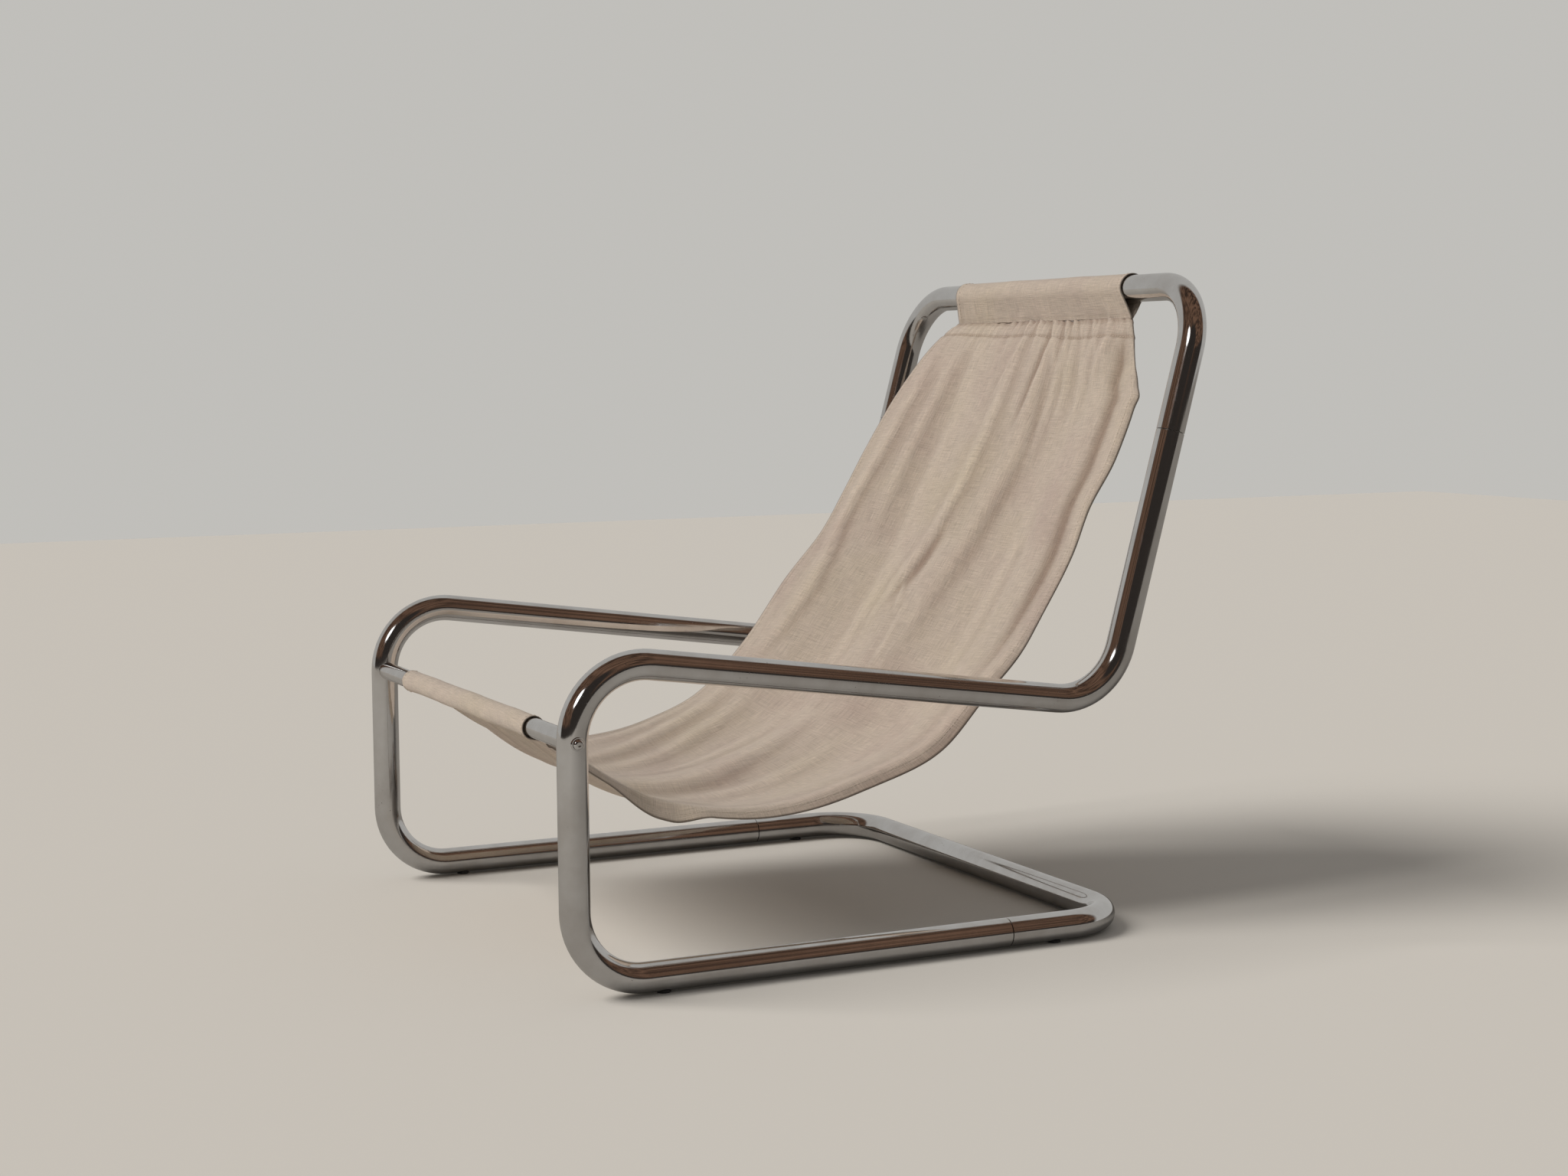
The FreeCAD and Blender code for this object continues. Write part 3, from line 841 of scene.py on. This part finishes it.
def sleeveStitches(name, points, total):
    # One row near the seam on the outer face of each side, and one at the hem of each end
    rows, columns = points.shape[:2]
    seamRow = max(2, int(round(sleeveMake["seamStitch"] / total * (rows - 1))))
    hem = int(round(sleeveMake["hemStitch"] / (points[0, -1, 0] - points[0, 0, 0]) * (columns - 1)))
    centre = points.mean(axis=(0, 1))
    lines = [
        [(seamRow, column) for column in range(1, columns - 1)],
        [(rows - 1 - seamRow, column) for column in range(1, columns - 1)],
        [(row, hem) for row in range(2, rows - 2)],
        [(row, columns - 1 - hem) for row in range(2, rows - 2)],
    ]
    sewn = []
    for line in lines:
        place, along, out = rowOnGrid(points, line, 1)
        middle = len(place) // 2
        if np.dot(out[middle], place[middle] - np.array([place[middle][0], centre[1], centre[2]])) < 0:
            place, along, out = rowOnGrid(points, line, -1)
        sewn.append((place, along, out))
    return sewRows(name, sewn)


topStitches = sleeveStitches("top_sleeve_stitches", topSleevePoints, topSleeveRound)
frontStitches = sleeveStitches("front_sleeve_stitches", frontSleevePoints, frontSleeveRound)
print("stitches", [len(piece.data.polygons) for piece in (panelStitches, topStitches, frontStitches)])


# Materials. A noise is (scale, detail, roughness), a bump is (strength, distance)
black = (0, 0, 0, 1)
white = (1, 1, 1, 1)


def plug(tree, node, inputs):
    # Each input takes a value or the output of another node
    for name, value in inputs.items():
        if isinstance(value, bpy.types.NodeSocket):
            tree.links.new(value, node.inputs[name])
        else:
            node.inputs[name].default_value = value


def addNode(tree, kind, inputs, output=0, **settings):
    node = tree.nodes.new("ShaderNode" + kind)
    for name, value in settings.items():
        setattr(node, name, value)
    plug(tree, node, inputs)
    return node.outputs[output]


def ramp(tree, value, stops):
    node = tree.nodes.new("ShaderNodeValToRGB")
    elements = node.color_ramp.elements
    for element, (place, colour) in zip(elements, (stops[0], stops[-1])):
        element.position = place
        element.color = colour
    for place, colour in stops[1:-1]:
        elements.new(place).color = colour
    plug(tree, node, {"Fac": value})
    return node.outputs["Color"]


def fadeIn(tree, value, start, end):
    return ramp(tree, value, [(start, black), (end, white)])


def calculate(tree, operation, *values):
    return addNode(tree, "Math", dict(enumerate(values)), operation=operation)


def spanTo(tree, value, low, high):
    inputs = {"Value": value, "From Min": low[0], "From Max": low[1], "To Min": high[0], "To Max": high[1]}
    return addNode(tree, "MapRange", inputs)


def mixColours(tree, factor, first, second):
    return addNode(tree, "Mix", {"Factor": factor, "A": first, "B": second}, "Result", data_type="RGBA")


def noise(tree, place, make):
    inputs = {"Vector": place, "Scale": make[0], "Detail": make[1], "Roughness": make[2]}
    return addNode(tree, "TexNoise", inputs, "Fac")


def bump(tree, height, make, under=None, invert=False):
    inputs = {"Height": height, "Strength": make[0], "Distance": make[1]}
    if under is not None:
        inputs["Normal"] = under
    return addNode(tree, "Bump", inputs, "Normal", invert=invert)


def scaleColour(tree, colour, amount):
    return addNode(tree, "VectorMath", {0: colour, "Scale": amount}, "Vector", operation="SCALE")


def newMaterial(name):
    material = bpy.data.materials.new(name)
    material.use_nodes = True
    return material, material.node_tree, material.node_tree.nodes["Principled BSDF"]


chrome = {
    "colour": (0.76, 0.755, 0.75, 1),
    "worn": (0.60, 0.575, 0.55, 1),
    "pit": (0.10, 0.075, 0.055, 1),
    "haze": (14.0, 5.0, 0.6),
    "wornAt": (0.38, 0.78),
    "dullAt": (0.35, 0.75),
    "roughness": (0.05, 0.17),
    "pitScale": 150.0,
    "pitSize": 0.11,
    "pitCore": 0.6,
    "pitRoughness": 0.5,
    "pitDepth": (0.35, 0.0002),
    "patch": (9.0, 2.0, 0.5),
    "patchAt": (0.55, 0.72),
    "ripple": (5.0, 2.0, 0.5),
    "rippleDepth": (0.12, 0.004),
}


def chromeMaterial(name):
    material, tree, shader = newMaterial(name)
    place = addNode(tree, "TexCoord", {}, "Object")
    haze = noise(tree, place, chrome["haze"])
    tone = ramp(tree, haze, list(zip(chrome["wornAt"], (chrome["colour"], chrome["worn"]))))
    pits = addNode(tree, "TexVoronoi", {"Vector": place, "Scale": chrome["pitScale"]}, "Distance")
    spot = ramp(tree, pits, [(chrome["pitSize"] * chrome["pitCore"], white), (chrome["pitSize"], black)])
    patch = fadeIn(tree, noise(tree, place, chrome["patch"]), *chrome["patchAt"])
    pitted = calculate(tree, "MULTIPLY", spot, patch)
    dull = spanTo(tree, haze, chrome["dullAt"], chrome["roughness"])
    ripples = bump(tree, noise(tree, place, chrome["ripple"]), chrome["rippleDepth"])
    plug(tree, shader, {
        "Metallic": 1.0,
        "Base Color": mixColours(tree, pitted, tone, chrome["pit"]),
        "Roughness": calculate(tree, "MULTIPLY_ADD", pitted, chrome["pitRoughness"], dull),
        "Normal": bump(tree, pitted, chrome["pitDepth"], ripples, invert=True),
    })
    return material


# Canvas: tones of the cloth, painted shade in hollows and painted highlight on crests from a point
# attribute, the dark line of the cut edge, slubs and weave
canvas = {
    "dark": (0.450, 0.348, 0.293, 1),
    "light": (0.520, 0.430, 0.352, 1),
    "yellow": (0.515, 0.430, 0.325, 1),
    "tonesAt": (0.25, 0.48, 0.75),
    # Painted shade for hollows and valleys, and a painted highlight for crests
    "paintedDeepShade": (0.64, 0.57, 0.53, 1),
    "paintedLightShade": (0.78, 0.74, 0.71, 1),
    "paintedHighlight": (1.10, 1.10, 1.09, 1),
    "shadingAt": (0.0, 0.2, 0.5, 0.85),
    "cloud": (5.0, 5.0, 0.6),
    "threadPitch": 0.0011,
    "weaveDepth": (0.5, 0.0003),
    "slub": (34.0, 3.0, 0.65),
    "slubStretch": 28,
    "slubAt": (0.7, 1.3),
    "slubShade": (0.72, 1.22),
    "slubDepth": (0.7, 0.0014),
    "rumple": (22.0, 3.0, 0.5),
    "rumpleDepth": (0.35, 0.0025),
    "edgeAt": (0.0008, 0.0030),
    "edgeShade": (0.45, 1.0),
    "finish": {"Roughness": 0.92, "Specular IOR Level": 0.2, "Sheen Weight": 0.25, "Sheen Roughness": 0.6},
}


def canvasMaterial(name):
    material, tree, shader = newMaterial(name)
    flat = addNode(tree, "UVMap", {}, uv_map="weave")
    place = addNode(tree, "TexCoord", {}, "Object")
    tones = zip(canvas["tonesAt"], (canvas["dark"], canvas["light"], canvas["yellow"]))
    tone = ramp(tree, noise(tree, place, canvas["cloud"]), list(tones))
    slubs = []
    for stretch in ((1, canvas["slubStretch"], 1), (canvas["slubStretch"], 1, 1)):
        drawn = addNode(tree, "Mapping", {"Vector": flat, "Scale": stretch})
        slubs.append(noise(tree, drawn, canvas["slub"]))
    slubbed = calculate(tree, "ADD", *slubs)
    waves = []
    for axis in ("X", "Y"):
        across = addNode(tree, "SeparateXYZ", {"Vector": flat}, axis)
        turns = calculate(tree, "MULTIPLY", across, 2 * math.pi / canvas["threadPitch"])
        waves.append(calculate(tree, "SINE", turns))
    # The attribute's colours paint shade into hollows and a highlight onto crests
    paintedShading = addNode(tree, "Attribute", {}, "Fac", attribute_name="paintedShading")
    shadingTones = zip(canvas["shadingAt"], (canvas["paintedDeepShade"], canvas["paintedLightShade"], white, canvas["paintedHighlight"]))
    worn = ramp(tree, paintedShading, list(shadingTones))
    colour = addNode(tree, "VectorMath", {0: tone, 1: worn}, "Vector", operation="MULTIPLY")
    colour = scaleColour(tree, colour, spanTo(tree, slubbed, canvas["slubAt"], canvas["slubShade"]))
    edge = addNode(tree, "Attribute", {}, "Fac", attribute_name="edge")
    colour = scaleColour(tree, colour, spanTo(tree, edge, canvas["edgeAt"], canvas["edgeShade"]))
    relief = bump(tree, calculate(tree, "MULTIPLY", *waves), canvas["weaveDepth"])
    relief = bump(tree, slubbed, canvas["slubDepth"], relief)
    relief = bump(tree, noise(tree, place, canvas["rumple"]), canvas["rumpleDepth"], relief)
    plug(tree, shader, canvas["finish"] | {"Base Color": colour, "Normal": relief})
    return material


# Thread, nylon and bare steel: a plain finish with a fine mottle
mottle = {"at": (0.35, 0.65), "roughnessSpread": 0.08, "detail": 4.0, "depth": (0.2, 0.0003)}


def mottledMaterial(name, colour, darker, roughness, metallic, scale):
    material, tree, shader = newMaterial(name)
    place = addNode(tree, "TexCoord", {}, "Object")
    grain = noise(tree, place, (scale, mottle["detail"], 0.5))
    spread = mottle["roughnessSpread"]
    plug(tree, shader, {
        "Metallic": metallic,
        "Base Color": ramp(tree, grain, list(zip(mottle["at"], (darker, colour)))),
        "Roughness": spanTo(tree, grain, (0, 1), (roughness - spread, roughness + spread)),
        "Normal": bump(tree, grain, mottle["depth"]),
    })
    return material


tubeChrome = chromeMaterial("tube_chrome")
slingCanvas = canvasMaterial("sling_canvas")
sewingThread, glideNylon, bareSteel = (
    mottledMaterial(*row)
    for row in (
        ("sewing_thread", (0.60, 0.52, 0.42, 1), (0.44, 0.37, 0.30, 1), 0.8, 0.0, 300.0),
        ("glide_nylon", (0.035, 0.034, 0.033, 1), (0.015, 0.015, 0.015, 1), 0.55, 0.0, 400.0),
        ("bare_steel", (0.42, 0.41, 0.40, 1), (0.25, 0.24, 0.23, 1), 0.35, 1.0, 120.0),
    )
)


def finishPiece(piece, material, slotName, *nodes):
    piece.data.materials.clear()
    piece.data.materials.append(material)
    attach(piece, "root")
    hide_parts(*nodes)


finishPiece(sideTubeLeft, tubeChrome, "chrome_tube", "side_tube_left")
finishPiece(sideTubeRight, tubeChrome, "chrome_tube", "side_tube_right")
finishPiece(baseRearTube, tubeChrome, "chrome_tube", "base_rear_tube")
finishPiece(topTube, tubeChrome, "chrome_tube", "top_tube")
finishPiece(frontRail, tubeChrome, "chrome_rail", "front_rail")
for sideName, washer, screw, front, rear in (
    ("left", cupWasherLeft, screwLeft, frontGlideLeft, rearGlideLeft),
    ("right", cupWasherRight, screwRight, frontGlideRight, rearGlideRight),
):
    finishPiece(washer, tubeChrome, "chrome_fixing", "cup_washer_" + sideName)
    finishPiece(screw, tubeChrome, "chrome_fixing", "rail_screw_" + sideName)
    finishPiece(front, glideNylon, "glide_plastic", "front_glide_" + sideName)
    finishPiece(rear, glideNylon, "glide_plastic", "rear_glide_" + sideName)
    for hidden in ("base_spigot_", "back_spigot_", "rail_plug_"):
        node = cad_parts[hidden + sideName]
        for number in range(len(node.material_slots)):
            node.material_slots[number].material = bareSteel
finishPiece(slingPanel, slingCanvas, "canvas", "sling_panel")
finishPiece(topSleevePiece, slingCanvas, "canvas", "top_sleeve")
finishPiece(frontSleevePiece, slingCanvas, "canvas", "front_sleeve")
for piece in (panelStitches, topStitches, frontStitches):
    piece.data.materials.append(sewingThread)
    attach(piece, "root")

# Floor: the camera, the chrome and the light that bounces each see a tone of their own
stage = {
    "size": 16,
    "seen": (0.62, 0.590, 0.545, 1),
    "mirroredNear": (0.43, 0.41, 0.38, 1),
    "mirroredFar": (0.26, 0.245, 0.225, 1),
    "nearToFar": (-1.6, 0.9),
    "bounce": (0.74, 0.70, 0.64, 1),
    "finish": {"Roughness": 0.9, "Specular IOR Level": 0.0},
}
bpy.ops.object.select_all(action="DESELECT")
bpy.ops.mesh.primitive_plane_add(size=stage["size"], location=(0, 0, 0))
floor = bpy.context.object
floor.name = "floor"
floorMaterial, tree, shader = newMaterial("floor_pale")
depth = addNode(tree, "SeparateXYZ", {"Vector": addNode(tree, "TexCoord", {}, "Object")}, "Y")
distance = spanTo(tree, depth, stage["nearToFar"], (0, 1))
mirrored = ramp(tree, distance, [(0.0, stage["mirroredNear"]), (1.0, stage["mirroredFar"])])
tone = mixColours(tree, addNode(tree, "LightPath", {}, "Is Glossy Ray"), stage["bounce"], mirrored)
tone = mixColours(tree, addNode(tree, "LightPath", {}, "Is Camera Ray"), tone, stage["seen"])
plug(tree, shader, stage["finish"] | {"Base Color": tone})
floor.data.materials.append(floorMaterial)

# Room: the chrome sees a pale wall, a dark doorway, a boarded ceiling and a small window pane; the camera
# sees a plain backdrop, and the rest an even light. Heights and sides are shares of a unit direction
room = {
    "ambient": (0.31, 0.305, 0.30, 1),
    "backdrop": (0.53, 0.520, 0.495, 1),
    "wall": (0.44, 0.432, 0.415, 1),
    "wallSide": (-0.90, 0.43, 0.0),
    "wallLean": -0.35,
    "wallAt": (0.46, 0.52),
    "dark": (0.030, 0.025, 0.022, 1),
    "doorwayAt": (0.02, 0.05),
    "ceiling": (0.165, 0.095, 0.062, 1),
    "beams": (0.030, 0.019, 0.014, 1),
    "ceilingAt": (0.11, 0.17),
    "boards": (7.0, 3.0, 0.5),
    "boardStretch": (2.4, 0.25, 2.4),
    "boardsAt": (0.38, 0.60),
    "pane": (2.6, 2.6, 2.6, 1),
    "paneAt": (0.986, 0.991),
    "paneAzimuth": math.radians(-60),
    "paneRise": math.radians(34),
}


def aim(azimuth, rise):
    return Vector((math.cos(azimuth) * math.cos(rise), math.sin(azimuth) * math.cos(rise), math.sin(rise)))


def facing(tree, place, direction):
    return addNode(tree, "VectorMath", {0: place, 1: direction}, "Value", operation="DOT_PRODUCT")


world = bpy.data.worlds.new("studio")
bpy.context.scene.world = world
world.use_nodes = True
tree = world.node_tree
place = addNode(tree, "TexCoord", {}, "Generated")
height = addNode(tree, "SeparateXYZ", {"Vector": place}, "Z")
side = calculate(tree, "MULTIPLY_ADD", height, room["wallLean"], facing(tree, place, room["wallSide"]))
side = calculate(tree, "MULTIPLY_ADD", side, 0.5, 0.5)
drawn = addNode(tree, "Mapping", {"Vector": place, "Scale": room["boardStretch"]})
boards = noise(tree, drawn, room["boards"])
boards = ramp(tree, boards, list(zip(room["boardsAt"], (room["beams"], room["ceiling"]))))
overhead = fadeIn(tree, height, *room["ceilingAt"])
overhead = calculate(tree, "MULTIPLY", overhead, fadeIn(tree, side, *room["doorwayAt"]))
tone = mixColours(tree, overhead, room["dark"], boards)
tone = mixColours(tree, fadeIn(tree, side, *room["wallAt"]), tone, room["wall"])
toPane = facing(tree, place, aim(room["paneAzimuth"], room["paneRise"]))
tone = mixColours(tree, fadeIn(tree, toPane, *room["paneAt"]), tone, room["pane"])
mirrored, paper, ambient = (
    addNode(tree, "Background", {"Color": colour}) for colour in (tone, room["backdrop"], room["ambient"])
)
glossy = addNode(tree, "LightPath", {}, "Is Glossy Ray")
around = addNode(tree, "MixShader", {"Fac": glossy, 1: ambient, 2: mirrored})
straight = addNode(tree, "LightPath", {}, "Is Camera Ray")
around = addNode(tree, "MixShader", {"Fac": straight, 1: around, 2: paper})
plug(tree, tree.nodes["World Output"], {"Surface": around})

# Window light: the chrome doesn't mirror it, because the pane above stands for it there
window = {
    "azimuth": math.radians(-104),
    "rise": math.radians(44),
    "strength": 2.75,
    "spread": math.radians(32),
    "colour": (1.0, 0.975, 0.94),
}
sunData = bpy.data.lights.new("window", "SUN")
sunData.energy = window["strength"]
sunData.angle = window["spread"]
sunData.color = window["colour"]
sun = newObject("window", sunData)
sun.visible_glossy = False
sun.rotation_euler = (-aim(window["azimuth"], window["rise"])).to_track_quat("-Z", "Y").to_euler()

# Camera of the photograph
view = {
    "place": (3.0750, -1.4637, 0.7665),
    "right": (0.43404624, 0.90086305, -0.00704409),
    "up": (-0.08027844, 0.04646465, 0.99568891),
    "back": (0.89730665, -0.43160954, 0.09248769),
    "lens": 55.44,
}
cameraData = bpy.data.cameras.new("photo_view")
cameraData.lens = view["lens"]
cameraData.sensor_width = 36
cameraData.sensor_fit = "HORIZONTAL"
camera = newObject("photo_view", cameraData)
columns = (view["right"], view["up"], view["back"], view["place"])
camera.matrix_world = Matrix([[column[row] for column in columns] for row in range(3)] + [[0, 0, 0, 1]])
bpy.context.scene.camera = camera
bpy.context.scene.view_settings.view_transform = "Standard"
